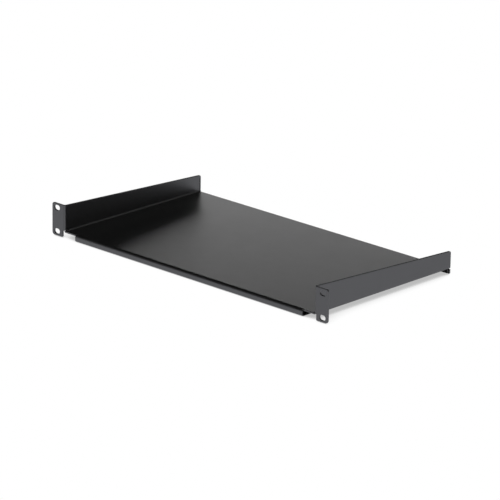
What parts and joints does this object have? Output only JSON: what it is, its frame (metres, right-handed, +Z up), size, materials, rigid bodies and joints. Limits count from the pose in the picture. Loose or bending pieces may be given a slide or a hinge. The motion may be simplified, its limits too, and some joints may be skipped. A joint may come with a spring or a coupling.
{
  "type": "cantilever rack shelf",
  "caption": "One-unit cantilever shelf for a 19 inch rack: a flat tray between tapering side walls, with slotted front ears, folded from a single steel sheet.",
  "frame": {"origin": "centre of the four rack slots, on the rear face of the mounting ears, which lies against the rack's rails", "axes": "+X to the right along the rack's width, +Y from the front towards the rear, +Z up"},
  "size_m": [0.4826, 0.251, 0.0444],
  "materials": {
    "powder_coat": "black powder coat, satin, with a fine even grain"
  },
  "bodies": {
    "root": {"cantilever_shelf": "powder_coat"}
  },
  "joints": []
}
